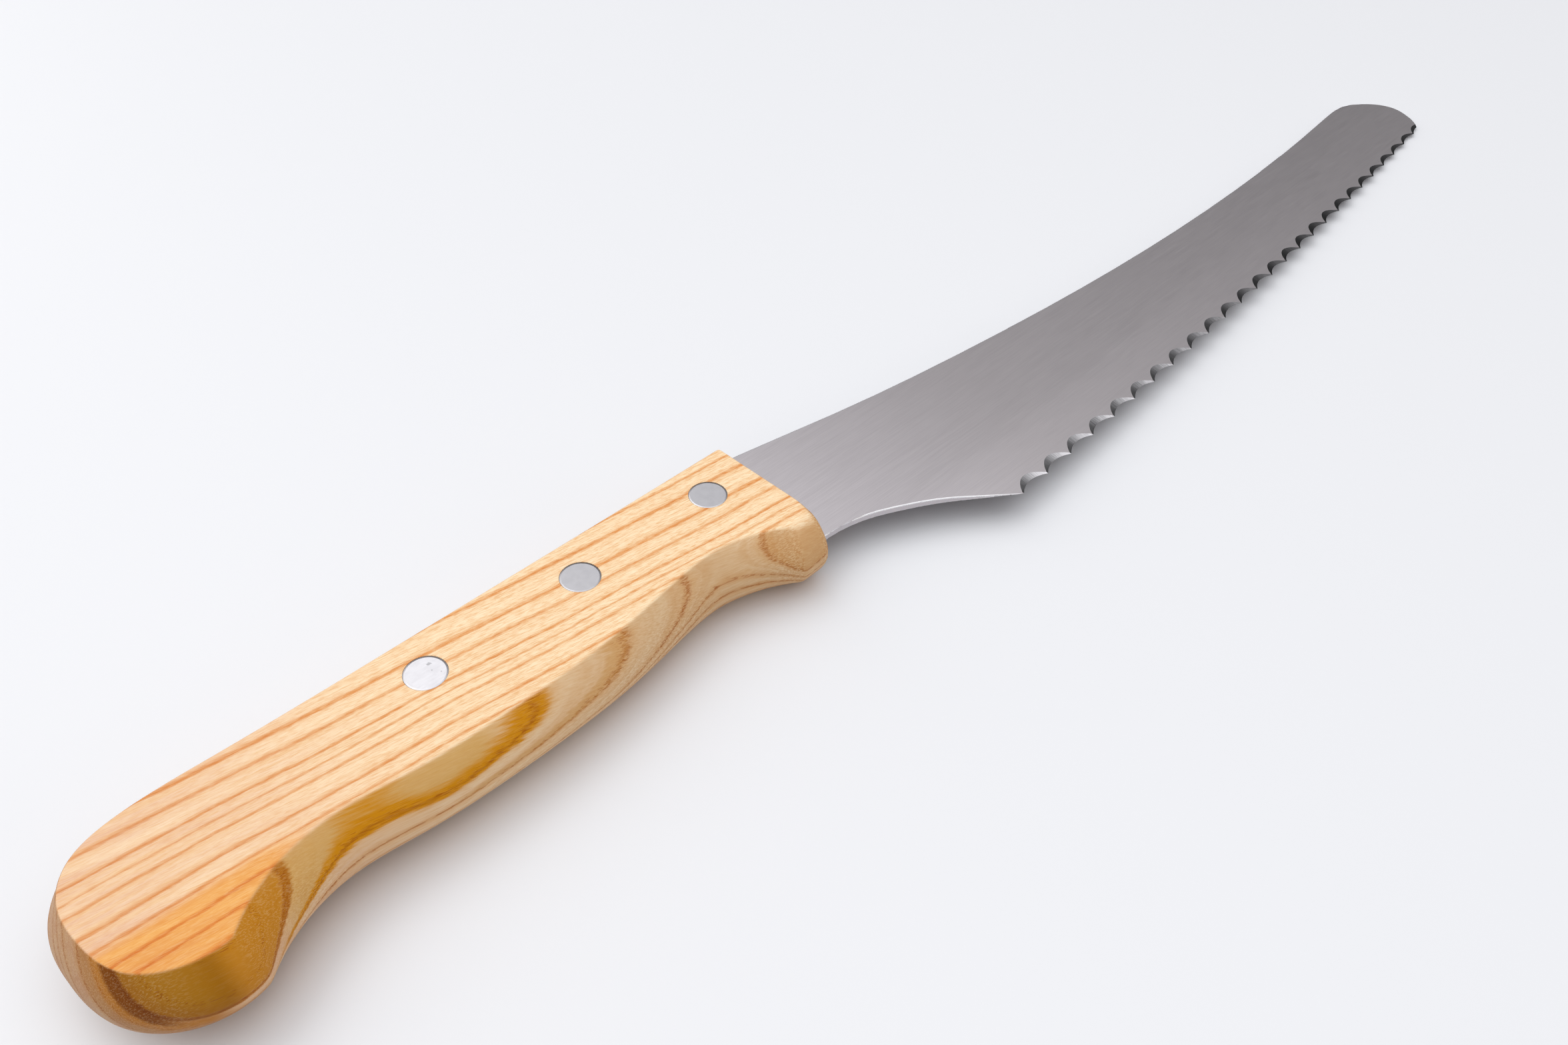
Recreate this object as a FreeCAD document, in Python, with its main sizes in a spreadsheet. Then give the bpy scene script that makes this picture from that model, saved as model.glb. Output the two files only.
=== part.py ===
import FreeCAD, Part
import math
import os
import Sketcher

# A bread knife lying on its side: a scalloped sheet-steel blade, a one-piece ash handle whose saw slot
# takes the blade's tang, and three two-part cutler's rivets through both.
#
# Sketches use millimetres with x from butt to tip, 0 at the front rivet, y from edge to spine, 0 at the
# front rivet, and z up from the side that the knife lies on. The last step moves every body so that the
# origin is under the middle of the knife's box.

VECTOR = FreeCAD.Vector

SIZES = {
    "handle_thickness": 15.0,
    "handle_front": 11.5,
    "tang_end": -86.0,
    "tang_end_width": 14.0,
    "tang_floor": -7.5,
    "tang_shoulder": 3.5,
    "tang_shoulder_floor": -19.6,
    "tang_shoulder_radius": 6.0,
    "blade_thickness": 1.5,
    "edge_thickness": 0.06,
    "edge_radius": 2768.0,
    "edge_angle": 1.32,
    "edge_end": 281.5,
    "heel_x": 53.0,
    "heel_y": -39.5,
    "grind_width": 8.0,
    "grind_blend": 8.0,
    "tooth_pitch": 9.0,
    "tooth_count": 26.0,
    "tooth_slope": 11.3,
    "tooth_depth": 1.5,
    "tip_tooth_depth": 0.9,
    "rivet_head_radius": 3.81,
    "rivet_head_depth": 2.8,
    "rivet_head_gap": 0.06,
    "rivet_head_recess": 0.04,
    "rivet_tube_radius": 2.5,
    "rivet_pin_radius": 1.6,
    "rivet_pin_end": 1.2,
    "front_rivet_x": 0.0,
    "front_rivet_y": 0.0,
    "middle_rivet_x": -32.35,
    "middle_rivet_y": 0.0,
    "rear_rivet_x": -65.5,
    "rear_rivet_y": 0.65,
    "origin_x": 78.54,
    "origin_y": -13.27,
}

RIVETS = ("front", "middle", "rear")

# Points of the handle's flat faces, anticlockwise from the front of the spine to the foot of the butt and
# on to the nose, each with the distance that the rounded side stands out beyond it at half thickness.
SPINE_AND_BUTT = [
    (11.5, 8.65, 2.65), (-25.0, 8.85, 2.65), (-65.0, 9.25, 2.65), (-100.0, 9.95, 2.65),
    (-115.0, 9.95, 2.6), (-123.3, 7.5, 2.7), (-127.6, 2.0, 3.1), (-128.4, -5.0, 3.4),
    (-125.8, -15.3, 4.0), (-120.0, -19.8, 4.5), (-112.8, -20.9, 4.5),
]
BELLY = [
    (-112.8, -20.9, 4.5), (-104.5, -15.35, 4.9), (-93.5, -12.95, 5.0), (-79.6, -14.45, 4.9),
    (-65.0, -15.6, 4.8), (-51.8, -15.85, 4.7), (-35.8, -15.05, 4.6), (-20.0, -12.85, 4.5),
    (-12.0, -12.2, 4.9), (-6.0, -12.85, 5.5), (0.0, -14.95, 5.5), (6.3, -18.5, 5.0),
]

# The tang's upper edge, which lies flush in the handle's spine, the blade's spine and round tip, and the
# curve from the handle's front down to the heel.
TANG_SPINE = [(-86.0, 12.25), (-65.0, 11.86), (-25.0, 11.46), (11.5, 11.26)]
BLADE_BACK = [
    (11.5, 11.26), (17.4, 10.4), (29.3, 8.25), (49.2, 4.7), (79.1, 0.7), (118.9, -3.0), (158.8, -5.0),
    (188.0, -5.3), (218.5, -4.6), (245.0, -3.1), (268.3, -1.2), (275.5, -1.2), (282.4, -3.75),
    (287.5, -8.8), (289.0, -13.2), (286.6, -19.9),
]
CHOIL = [(11.5, -19.6), (19.5, -20.15), (24.9, -21.65), (31.0, -24.45), (38.7, -28.85), (46.0, -34.35)]

doc = FreeCAD.newDocument("bread_knife")
sizes = doc.addObject("Spreadsheet::Sheet", "sizes")
for row, (word, value) in enumerate(SIZES.items(), start=1):
    sizes.set(f"A{row}", word)
    sizes.set(f"B{row}", str(value))
    sizes.setAlias(f"B{row}", word)
doc.recompute()


def size(word):
    """The value of one named cell of the sheet."""
    return float(getattr(sizes, word))


def point(place):
    return VECTOR(*place)


def spline(places):
    curve = Part.BSplineCurve()
    curve.interpolate([point(place) for place in places])
    return curve


def line(start, end):
    return Part.LineSegment(point(start), point(end))


def arc(start, middle, end):
    return Part.Arc(point(start), point(middle), point(end))


def new_body(name):
    body = doc.addObject("PartDesign::Body", name)
    body.Label = name
    return body


def new_sketch(body, name, plane="XY_Plane", height=None):
    """A sketch on one of the body's own origin planes, lifted by an expression where one is given."""
    sketch = body.newObject("Sketcher::SketchObject", name)
    support = next(feature for feature in body.Origin.OriginFeatures if feature.Role == plane)
    sketch.AttachmentSupport = [(support, "")]
    sketch.MapMode = "FlatFace"
    if height is not None:
        sketch.setExpression("AttachmentOffset.Base.z", height)
    return sketch


def add_outline(sketch, curves):
    """Add curves that follow each other round a closed outline, and join each to the next.

    A sketch keeps every arc anticlockwise, so the end that touches the next curve is looked up.
    """
    for curve in curves:
        sketch.addGeometry(curve, False)
    for here in range(len(curves)):
        following = (here + 1) % len(curves)
        ends = [(i, j) for i in (1, 2) for j in (1, 2)]
        gaps = [sketch.getPoint(here, i).distanceToPoint(sketch.getPoint(following, j)) for i, j in ends]
        end, start = ends[gaps.index(min(gaps))]
        sketch.addConstraint(Sketcher.Constraint("Coincident", here, end, following, start))


def add_rivet_circle(sketch, rivet, radius):
    """A circle round a rivet's axis, its centre and radius bound to the sheet."""
    places = {"DistanceX": f"{rivet}_rivet_x", "DistanceY": f"{rivet}_rivet_y"}
    centre = VECTOR(*[size(word) for word in places.values()], 0)
    circle = sketch.addGeometry(Part.Circle(centre, VECTOR(0, 0, 1), size("rivet_tube_radius")), False)
    for kind, word in places.items():
        bound = sketch.addConstraint(Sketcher.Constraint(kind, -1, 1, circle, 3, size(word)))
        sketch.setExpression(f"Constraints[{bound}]", f"sizes.{word}")
    bound = sketch.addConstraint(Sketcher.Constraint("Radius", circle, size("rivet_tube_radius")))
    sketch.setExpression(f"Constraints[{bound}]", radius)


def cut(body, kind, sketch, name, settings=None, expressions=None):
    """Cut a sketch out of a body with a Pocket or a Groove, and stop if it takes nothing away."""
    doc.recompute()
    before = body.Shape.Volume
    feature = body.newObject(kind, name)
    feature.Profile = sketch
    for prop, value in (settings or {}).items():
        setattr(feature, prop, value)
    for prop, expression in (expressions or {}).items():
        feature.setExpression(prop, expression)
    doc.recompute()
    if body.Shape.Volume >= before:
        raise RuntimeError(f"{name} cuts nothing")
    return feature


def mirror(body, feature, name):
    """Repeat a cut on the other side of the body's XY plane."""
    before = body.Shape.Volume
    copy = body.newObject("PartDesign::Mirrored", name)
    copy.Originals = [feature]
    plane = next(side for side in body.Origin.OriginFeatures if side.Role == "XY_Plane")
    copy.MirrorPlane = (plane, [""])
    body.Tip = copy
    doc.recompute()
    if body.Shape.Volume >= before:
        raise RuntimeError(f"{name} cuts nothing")


# ---- blade: its own z is 0 at the middle of the sheet ----

def tang_outline():
    """The tang behind the handle's front, from the shoulder's lower front corner back to the spine."""
    front = size("handle_front")
    end = size("tang_end")
    floor = size("tang_floor")
    shoulder = size("tang_shoulder")
    radius = size("tang_shoulder_radius")
    shoulder_floor = size("tang_shoulder_floor")
    end_radius = size("tang_end_width") / 2
    slant = math.sqrt(0.5)
    bend = (shoulder - radius, floor - radius)
    turn = (end + end_radius, floor + end_radius)
    return [
        line((front, shoulder_floor), (shoulder, shoulder_floor)),
        line((shoulder, shoulder_floor), (shoulder, bend[1])),
        arc(
            (shoulder, bend[1]),
            (bend[0] + radius * slant, bend[1] + radius * slant),
            (bend[0], floor),
        ),
        line((bend[0], floor), (turn[0], floor)),
        arc(
            (turn[0], floor),
            (turn[0] - end_radius * slant, turn[1] - end_radius * slant),
            (end, turn[1]),
        ),
        line((end, turn[1]), TANG_SPINE[0]),
    ]


def edge_centre():
    """The centre of the long arc that the tooth points lie on."""
    angle = math.radians(size("edge_angle"))
    radius = size("edge_radius")
    return size("heel_x") - radius * math.sin(angle), size("heel_y") + radius * math.cos(angle)


def edge_point(x):
    centre_x, centre_y = edge_centre()
    return x, centre_y - math.sqrt(size("edge_radius") ** 2 - (x - centre_x) ** 2)


def make_blade():
    """The stamped sheet, ground thin along its edge, then scalloped from its upper side only."""
    blade = new_body("blade")
    heel = edge_point(size("heel_x"))
    edge_end = edge_point(size("edge_end"))
    edge_middle = edge_point((heel[0] + edge_end[0]) / 2)
    outline = new_sketch(blade, "blade_outline")
    add_outline(outline, [
        spline(TANG_SPINE),
        spline(BLADE_BACK + [edge_end]),
        arc(edge_end, edge_middle, heel),
        spline([heel] + CHOIL[::-1]),
    ] + tang_outline())
    sheet = blade.newObject("PartDesign::Pad", "blade_sheet")
    sheet.Profile = outline
    sheet.SideType = "Symmetric"
    sheet.setExpression("Length", "sizes.blade_thickness")

    section = grind_sketch(blade)
    grind = cut(
        blade, "PartDesign::Groove", section, "edge_grind",
        settings={"Angle": 16.0, "Midplane": True, "ReferenceAxis": (section, ["V_Axis"])},
    )
    mirror(blade, grind, "lower_edge_grind")

    cut(
        blade, "PartDesign::Pocket", scallop_sketch(blade), "scallops",
        settings={"SideType": "Symmetric", "Length": 50.0},
    )

    holes = new_sketch(blade, "tang_hole_circles")
    for rivet in RIVETS:
        add_rivet_circle(holes, rivet, "sizes.rivet_tube_radius")
    cut(
        blade, "PartDesign::Pocket", holes, "tang_holes",
        settings={"SideType": "Symmetric"}, expressions={"Length": "sizes.blade_thickness * 2"},
    )
    return blade


def grind_slope():
    """The slope of the flat part of the grind: its blend into the sheet falls half as fast."""
    fall = (size("blade_thickness") - size("edge_thickness")) / 2
    return fall / (size("grind_width") + size("grind_blend") / 2)


def grind_sketch(blade):
    """The wedge taken off above the edge, in an upright plane through the middle of the edge's arc."""
    centre_x, centre_y = edge_centre()
    half_sheet = size("blade_thickness") / 2
    half_edge = size("edge_thickness") / 2
    slope = grind_slope()
    blend = size("grind_blend")
    margin = 2.0
    at_edge = -size("edge_radius")
    flat_end = at_edge + size("grind_width")
    blend_end = flat_end + blend
    below = (at_edge - margin, half_edge - margin * slope)
    shoulder = (flat_end, half_edge + size("grind_width") * slope)
    inside_blend = (flat_end + blend / 2, half_sheet - slope * blend / 8)
    inner = (blend_end, half_sheet)
    above = (blend_end, half_sheet + margin)
    above_edge = (below[0], half_sheet + margin)
    sketch = new_sketch(blade, "grind_section", plane="YZ_Plane")
    sketch.AttachmentOffset = FreeCAD.Placement(VECTOR(centre_y, 0, centre_x), FreeCAD.Rotation())
    add_outline(sketch, [
        line(below, shoulder),
        arc(shoulder, inside_blend, inner),
        line(inner, above),
        line(above, above_edge),
        line(above_edge, below),
    ])
    return sketch


def scallop_sketch(blade):
    """A row of arcs, one for each scallop, in a plane square to the way that the wheel passes.

    The sketch's x runs along the chord of the edge from the heel, and its y is up from the sheet's
    middle. The wheel passes at a small angle to the sheet, so each arc leaves a long curve on the
    upper face and a shallower one on the lower face, and both meet at the tooth points.
    """
    pitch = size("tooth_pitch")
    count = round(size("tooth_count"))
    wheel_angle = math.radians(size("tooth_slope"))
    fall = math.tan(wheel_angle)
    chord = pitch * count
    chord_angle = size("edge_angle") + math.degrees(math.asin(chord / 2 / size("edge_radius")))
    clear_height = 12.0
    full_teeth = count - 10

    def height(along):
        """How high the tooth points lie in this plane, the edge's arc falling below its chord."""
        sag = along * (chord - along) / (2 * size("edge_radius"))
        return (fall * sag - size("edge_thickness") / 2) * math.cos(wheel_angle)

    arcs = []
    for tooth in range(count):
        share = max(0, tooth - full_teeth) / (count - 1 - full_teeth)
        depth = size("tooth_depth") + share * (size("tip_tooth_depth") - size("tooth_depth"))
        rise = depth * (fall + grind_slope()) * math.cos(wheel_angle)
        start, middle, end = tooth * pitch, (tooth + 0.5) * pitch, (tooth + 1) * pitch
        arcs.append(arc((start, height(start)), (middle, height(middle) - rise), (end, height(end))))
    first = (0, height(0))
    last = (chord, height(chord))
    upper = (chord, clear_height)
    sketch = new_sketch(blade, "scallop_profile")
    turn = FreeCAD.Rotation(VECTOR(0, 0, 1), chord_angle)
    tilt = FreeCAD.Rotation(VECTOR(1, 0, 0), 90 + size("tooth_slope"))
    sketch.AttachmentOffset = FreeCAD.Placement(VECTOR(*edge_point(size("heel_x")), 0), turn * tilt)
    above_first = (0, clear_height)
    sides = [line(last, upper), line(upper, above_first), line(above_first, first)]
    add_outline(sketch, arcs + sides)
    return sketch


# ---- handle: its own z is 0 at the face that it lies on ----

def handle_outline(crown_share):
    """The handle's outline with a share of its crown: none on the flat faces, all at half thickness."""
    moved = []
    for run in (SPINE_AND_BUTT, BELLY):
        flat = spline([(x, y) for x, y, crown in run])
        places = []
        for x, y, crown in run:
            along = flat.tangent(flat.parameter(VECTOR(x, y, 0)))[0]
            outward = VECTOR(along.y, -along.x, 0).normalize()
            places.append(VECTOR(x, y, 0) + outward * crown * crown_share)
        moved.append(places)
    spine_and_butt, belly = moved
    foot = (spine_and_butt[-1] + belly[0]) / 2
    spine_and_butt[-1] = foot
    belly[0] = foot
    spine_and_butt[0].x = size("handle_front")
    nose_y = BELLY[-1][1] - BELLY[-1][2] * crown_share
    belly[-1].y = nose_y
    nose = VECTOR(size("handle_front"), nose_y, 0)
    return [spline(spine_and_butt), spline(belly), line(belly[-1], nose), line(nose, spine_and_butt[0])]


def make_handle():
    """One block of ash with flat faces and crowned sides, slotted for the tang and bored for rivets."""
    handle = new_body("handle")
    sections = []
    for name, height, crown_share in (
        ("lower_face", "0", 0.0),
        ("half_thickness", "sizes.handle_thickness / 2", 1.0),
        ("upper_face", "sizes.handle_thickness", 0.0),
    ):
        section = new_sketch(handle, name, height=height)
        add_outline(section, handle_outline(crown_share))
        sections.append(section)
    doc.recompute()
    block = handle.newObject("PartDesign::AdditiveLoft", "handle_block")
    block.Profile = sections[0]
    block.Sections = sections[1:]

    above = 30.0
    slot = new_sketch(handle, "slot_outline", height="sizes.handle_thickness / 2")
    front = size("handle_front")
    end = TANG_SPINE[0][0]
    tang = tang_outline()[:-1]
    tang_rear = tang[-1].EndPoint
    tang_front = tang[0].StartPoint
    add_outline(slot, tang + [
        line(tang_rear, (end, above)),
        line((end, above), (front, above)),
        line((front, above), tang_front),
    ])
    cut(
        handle, "PartDesign::Pocket", slot, "saw_slot",
        settings={"SideType": "Symmetric"}, expressions={"Length": "sizes.blade_thickness"},
    )

    bores = new_sketch(handle, "bore_circles", height="sizes.handle_thickness / 2")
    for rivet in RIVETS:
        add_rivet_circle(bores, rivet, "sizes.rivet_tube_radius")
    cut(
        handle, "PartDesign::Pocket", bores, "rivet_bores",
        settings={"SideType": "Symmetric"}, expressions={"Length": "sizes.handle_thickness * 2"},
    )

    seat_radius = "sizes.rivet_head_radius + sizes.rivet_head_gap"
    for name, height, upward in (
        ("lower_seats", "0", True),
        ("upper_seats", "sizes.handle_thickness", False),
    ):
        seats = new_sketch(handle, f"{name}_circles", height=height)
        for rivet in RIVETS:
            add_rivet_circle(seats, rivet, seat_radius)
        cut(
            handle, "PartDesign::Pocket", seats, name,
            settings={"Reversed": upward}, expressions={"Length": "sizes.rivet_head_depth"},
        )
    return handle


# ---- rivets: each half is turned about its own z ----

def turned_body(name, corners):
    """A body turned from a half section given as radius and height pairs."""
    body = new_body(name)
    section = new_sketch(body, f"{name}_section", plane="XZ_Plane")
    add_outline(section, [line(a, b) for a, b in zip(corners, corners[1:] + corners[:1])])
    turned = body.newObject("PartDesign::Revolution", f"{name}_turned")
    turned.Profile = section
    turned.ReferenceAxis = (section, ["V_Axis"])
    turned.Angle = 360.0
    return body


def make_rivet(rivet):
    """A headed pin from below, driven into a headed tube from above."""
    thickness = size("handle_thickness")
    recess = size("rivet_head_recess")
    seat = size("rivet_head_depth")
    head = size("rivet_head_radius")
    tube = size("rivet_tube_radius")
    pin = size("rivet_pin_radius")
    pin_top = thickness - size("rivet_pin_end")
    stud = turned_body(f"{rivet}_rivet_stud", [
        (0, recess), (head, recess), (head, seat), (pin, seat), (pin, pin_top), (0, pin_top),
    ])
    sleeve = turned_body(f"{rivet}_rivet_sleeve", [
        (0, pin_top), (pin, pin_top), (pin, seat), (tube, seat), (tube, thickness - seat),
        (head, thickness - seat), (head, thickness - recess), (0, thickness - recess),
    ])
    return stud, sleeve


blade = make_blade()
handle = make_handle()
lift = size("handle_thickness") / 2
shift = VECTOR(-size("origin_x"), -size("origin_y"), 0)
blade.Placement = FreeCAD.Placement(shift + VECTOR(0, 0, lift), FreeCAD.Rotation())
handle.Placement = FreeCAD.Placement(shift, FreeCAD.Rotation())
bodies = [blade, handle]
for rivet in RIVETS:
    place = shift + VECTOR(size(f"{rivet}_rivet_x"), size(f"{rivet}_rivet_y"), 0)
    for half in make_rivet(rivet):
        half.Placement = FreeCAD.Placement(place, FreeCAD.Rotation())
        bodies.append(half)
doc.recompute()

for item in doc.Objects:
    if {"Invalid", "Error"} & set(item.State):
        raise RuntimeError(f"{item.Name} did not build")
for body in bodies:
    if body.Shape.isNull() or not body.Shape.isValid() or len(body.Shape.Solids) != 1:
        raise RuntimeError(f"{body.Label} is not one valid solid")

os.makedirs("parts", exist_ok=True)
for body in bodies:
    body.Shape.exportStep(f"parts/{body.Label}.step")
    box = body.Shape.optimalBoundingBox(False)
    low = f"{box.XMin:.2f} {box.YMin:.2f} {box.ZMin:.2f}"
    high = f"{box.XMax:.2f} {box.YMax:.2f} {box.ZMax:.2f}"
    print(f"{body.Label}: {body.Shape.Volume:.1f} mm3, from {low} to {high}")
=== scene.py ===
import math

import bmesh
import bpy
from mathutils import Matrix, Vector
from mathutils.geometry import delaunay_2d_cdt


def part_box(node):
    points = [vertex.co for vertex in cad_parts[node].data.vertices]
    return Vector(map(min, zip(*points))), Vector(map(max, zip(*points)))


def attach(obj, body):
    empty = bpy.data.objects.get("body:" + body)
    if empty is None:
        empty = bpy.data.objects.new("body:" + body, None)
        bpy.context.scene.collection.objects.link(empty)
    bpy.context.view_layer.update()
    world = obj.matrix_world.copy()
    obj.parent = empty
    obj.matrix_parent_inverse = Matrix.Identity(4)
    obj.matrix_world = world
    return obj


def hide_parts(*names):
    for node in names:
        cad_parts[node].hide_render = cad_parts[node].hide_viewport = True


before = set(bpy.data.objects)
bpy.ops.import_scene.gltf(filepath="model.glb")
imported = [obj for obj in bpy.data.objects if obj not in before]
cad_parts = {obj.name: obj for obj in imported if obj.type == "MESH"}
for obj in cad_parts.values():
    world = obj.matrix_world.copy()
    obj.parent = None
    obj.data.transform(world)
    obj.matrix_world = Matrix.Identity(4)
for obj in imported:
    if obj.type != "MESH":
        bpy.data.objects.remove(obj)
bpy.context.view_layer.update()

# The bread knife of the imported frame, lying on its side on a plain pale floor in soft studio light.
# Lengths are metres in the row frame: +X from butt to tip, +Y from cutting edge to spine, +Z up from the
# side that the knife lies on. Texture lengths are millimetres, which suit grain and brushing better.

MM = 0.001
HANDLE_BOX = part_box("handle")
BLADE_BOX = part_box("blade")
RIVETS = ("front", "middle", "rear")
NOISE_MIDDLE = 0.5


def srgb(red, green, blue):
    """A colour given as it looks on a screen, 0 to 255, as the shader's linear numbers."""
    shares = [c / 255 for c in (red, green, blue)]
    return tuple(c / 12.92 if c <= 0.04045 else ((c + 0.055) / 1.055) ** 2.4 for c in shares)


# ---- Camera ----
# It stands over the butt and looks along the knife. Its three turns are about Z, X and Z again.
CAMERA_PLACE = (-0.208416, -0.124224, 0.183031)
CAMERA_HEADING = -47.974
CAMERA_TILT = 47.190
CAMERA_ROLL = 2.3724
CAMERA_LENS = 29.48
CAMERA_SENSOR = 36.0
CAMERA_CLIP = (0.01, 20.0)

# ---- Floor and light ----
FLOOR_SIZE = 6.0
FLOOR_COLOUR = (0.815, 0.82, 0.845)
FLOOR_ROUGHNESS = 0.5
# The sky's strength by the sine of its height: dim at the horizon and bright overhead.
SKY_FADE = ((0.001, 0.05), (0.3, 0.12), (0.55, 0.235), (0.68, 0.5), (0.76, 0.8), (0.999, 1.0))
SKY_STRENGTH = 1.53
SKY_COLOUR = (0.97, 0.98, 1.0)
WINDOW_PLACE = (-0.5, 1.2, 1.1)
WINDOW_WIDTH = 2.2
WINDOW_POWER = 14.8
WINDOW_COLOUR = (1.0, 0.985, 0.96)
FILL_PLACE = (0.5, -1.3, 0.3)
FILL_WIDTH = 1.0
FILL_POWER = 3.0
FILL_COLOUR = (1.0, 0.95, 0.88)

# ---- Growth rings ----
# The handle was cut well away from the middle of its tree, so its growth rings are shallow shells about
# an axis far above the belly side, which slopes and bends. Millimetres, with x counted from RING_MIDDLE.
RING_MIDDLE = -140.0
RING_AXIS_Y = -119.6
RING_AXIS_Z = 150.0
RING_SLOPE_Y = 0.194
RING_SLOPE_Z = -0.076
RING_BEND_Y = -0.00134
RING_BEND_Z = 0.00116
RING_INNERMOST = 158.0
# The widths of the years' growth, from the innermost ring outward.
RING_GAPS = (
    2.6, 2.4, 2.7, 2.3, 2.5, 2.3, 2.2, 1.8, 2.2, 1.9, 2.7, 1.5, 1.5, 2.8, 2.6, 4.0,
    3.0, 2.2, 2.7, 3.1, 2.4, 2.6, 2.9, 2.5,
)
# The scale and detail of the noise by which the rings wander, and how far they do. The scale and detail,
# and the roughness where there is a third number, come in this order in every noise below.
WANDER_NOISE = (0.045, 1.0)
WANDER_REACH = 1.0
# The fibres run along the rings.
FIBRE = Vector((1.0, -RING_SLOPE_Y, RING_SLOPE_Z)).normalized()
# The rings whose lines are always strong: from, to and softness.
BOLD_RINGS = (14.5, 16.5, 0.1)

# ---- Wood: colours ----
PALE_WOOD = srgb(250, 221, 182)
PALE_REAR = srgb(232, 188, 156)
PALEST_WOOD = srgb(252, 226, 188)
GRAIN_SHADE = srgb(236, 190, 138)
HALO_WOOD = srgb(234, 182, 121)
RING_LINE = srgb(236, 190, 142)
RING_LINE_SIDE = srgb(214, 168, 118)
FLECK_LIGHT = srgb(170, 150, 120)
FLECK_SHADE = srgb(238, 206, 168)
PORE_SHADE = srgb(205, 150, 100)
OILED_SIDE = srgb(223, 212, 199)
# The oil stains: colour; rings from, to and softness; millimetres of length from, to and softness;
# strength; and whether on the sides rather than on the flat faces.
STAINS = (
    (srgb(250, 210, 132), (5.0, 8.9, 0.35), (-215, -176, 6.0), 0.9, False),
    (srgb(208, 158, 76), (7.9, 8.97, 0.05), (-184, -143, 4.0), 0.75, True),
    (srgb(208, 138, 8), (8.80, 9.16, 0.08), (-186, -131, 3.0), 1.0, True),
    (srgb(168, 92, 0), (8.97, 9.05, 0.03), (-184, -134, 3.0), 0.5, True),
    (srgb(196, 128, 14), (5.0, 7.95, 0.15), (-200, -170, 4.0), 0.95, True),
    (srgb(176, 104, 0), (7.90, 8.16, 0.06), (-200, -168, 3.0), 0.9, True),
    (srgb(206, 152, 84), (9.72, 10.06, 0.08), (-152, -112, 5.0), 0.55, True),
    (srgb(202, 150, 92), (10.2, 11.0, 0.2), (-88, -60, 5.0), 0.6, True),
    (srgb(150, 104, 66), (9.0, 30.0, 0.3), (-215, -196, 6.0), 0.45, True),
    (srgb(170, 112, 44), (9.0, 10.0, 0.4), (-215, -190, 4.0), 0.6, True),
    (srgb(160, 102, 6), (5.0, 7.9, 0.1), (-215, -194, 2.0), 0.95, True),
    (srgb(192, 140, 40), (5.0, 7.2, 0.4), (-215, -197, 3.0), 0.3, True),
    (srgb(178, 110, 12), (8.0, 9.1, 0.4), (-215, -196, 3.0), 0.9, True),
    (srgb(136, 74, 0), (7.86, 8.18, 0.09), (-215, -195, 2.0), 0.7, True),
    (srgb(122, 62, 0), (7.84, 8.60, 0.15), (-215, -203, 2.0), 0.9, True),
)
# How far the normal rises: up to the first number a surface is a side, and from the second a flat face.
SIDE_NORMAL = (0.75, 0.97)

# ---- Wood: layers of grain ----
# The length and width of each layer's cells, along and across the fibres, and then the noise's detail and
# roughness where they aren't the usual ones.
WASH_CELL = (40.0, 3.0)
FINE_CELL = (14.0, 0.24)
FUZZ_CELL = (6.0, 0.45)
DASH_CELL = (3.0, 0.3, 1.0)
FLECK_CELL = (2.1, 0.19, 2.0, 0.6)
PORE_CELL = (2.4, 0.14, 0.0)
# Thin shells inside each ring: how many in a millimetre, and their length.
SHELL_PITCH = 2.4
SHELL_LENGTH = 30.0
# How a layer's noise becomes a share of its colour: noise from and to, then share from and to.
WASH_SHARE = (0.35, 0.7, 0.0, 0.6)
FINE_SHARE = (0.42, 0.78, 0.0, 0.6)
SHELL_SHARE = (0.4, 0.7, 0.0, 0.5)
DASH_SHARE = (0.36, 0.52)
FLECK_LIGHT_SHARE = (0.51, 0.61, 0.0, 0.6)
FLECK_SHADE_SHARE = (0.39, 0.49, 0.5, 0.0)
PORE_SHARE = (0.58, 0.68)
# How a share changes along the handle: x from and to, then share from and to.
PALE_REACH = (-200, -140)
OILED_NOSE = (-150, -90, 0.55, 1.0)
SMOOTH_REAR = (-200, -120, 0.4, 1.0)
# How far the flecks show on a side: the share of the normal along the fibres, then the flecks' share.
END_GRAIN = (0.12, 0.4, 0.2, 1.0)
# A ring's dark line, in ring counts from the ring: where it is darkest, and on the flat faces and on the
# sides where it starts and ends.
LINE_PEAK = 0.01
LINE_START = (-0.11, -0.08)
LINE_END = (0.22, 0.15)
LINE_WEIGHTS = (0.65, 1.0)
FUZZ_REACH = 0.5
# The warmer wood beside a line, in ring counts, and its strength on the flat faces and on the sides.
HALO_REACH = (0.05, 0.42, 1.0, 0.0)
HALO_STRENGTH = (0.25, 0.5)
# The pores crowd beside a line and thin out away from it.
PORES_BY_LINE = (0.05, 0.16, 1.0, 0.06)
PORE_STRENGTH = (0.3, 1.0)
PORE_TINT = 0.5
PORE_DEPTH = -0.8
GRAIN_BUMP = 0.03 * MM
GRAIN_BUMP_STRENGTH = 0.6
WOOD_IOR = 1.22
WOOD_ROUGHNESS = (0.3, 0.7, 0.42, 0.56)

# ---- Steel ----
STEEL_DARK = (0.503, 0.466, 0.478)
STEEL_LIGHT = (0.54, 0.502, 0.512)
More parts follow.
